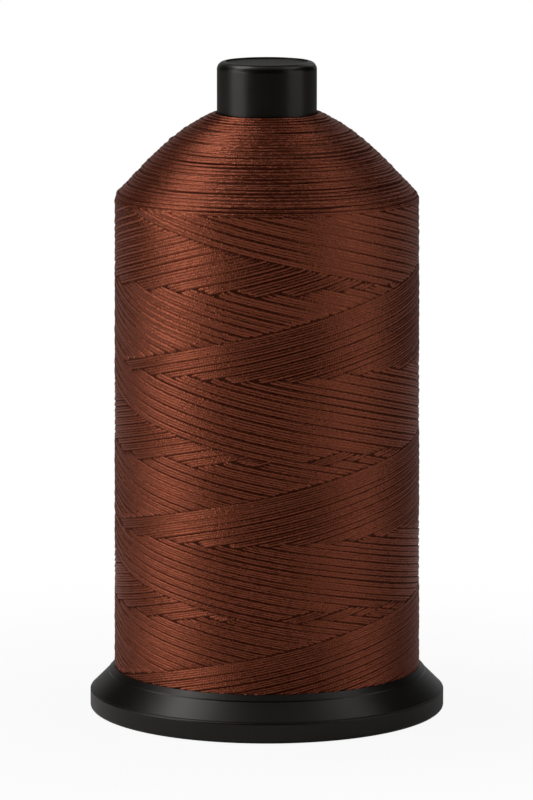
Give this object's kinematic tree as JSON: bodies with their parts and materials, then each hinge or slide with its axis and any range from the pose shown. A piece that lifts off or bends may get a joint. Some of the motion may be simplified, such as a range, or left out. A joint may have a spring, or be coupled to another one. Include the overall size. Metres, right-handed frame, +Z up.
{
  "type": "waxed thread spool",
  "caption": "Tall thread spool: a capped plastic barrel on a wide conical foot, cross-wound with waxed thread up to a rounded shoulder, with a blind bore for a stand's pin.",
  "frame": {"origin": "middle of the foot's underside, on the barrel's axis, at ground level", "axes": "+Z up along the barrel towards the plug; +X and +Y lie in the ground plane, and +X passes through the point where the outer winding starts"},
  "size_m": [0.0926, 0.0926, 0.1698],
  "materials": {
    "foot_plastic": "satin",
    "flange_plastic": "satin",
    "barrel_plastic": "satin",
    "plug_plastic": "satin",
    "sleeve_plastic": "satin",
    "wound_thread": "waxed",
    "waxed_thread": "waxed"
  },
  "bodies": {
    "root": {"foot_plate": "foot_plastic", "base_flange": "flange_plastic", "barrel_tube": "barrel_plastic", "top_plug": "plug_plastic", "spindle_sleeve": "sleeve_plastic", "thread_core": "wound_thread", "thread_outer_turns": "waxed_thread"}
  },
  "joints": []
}
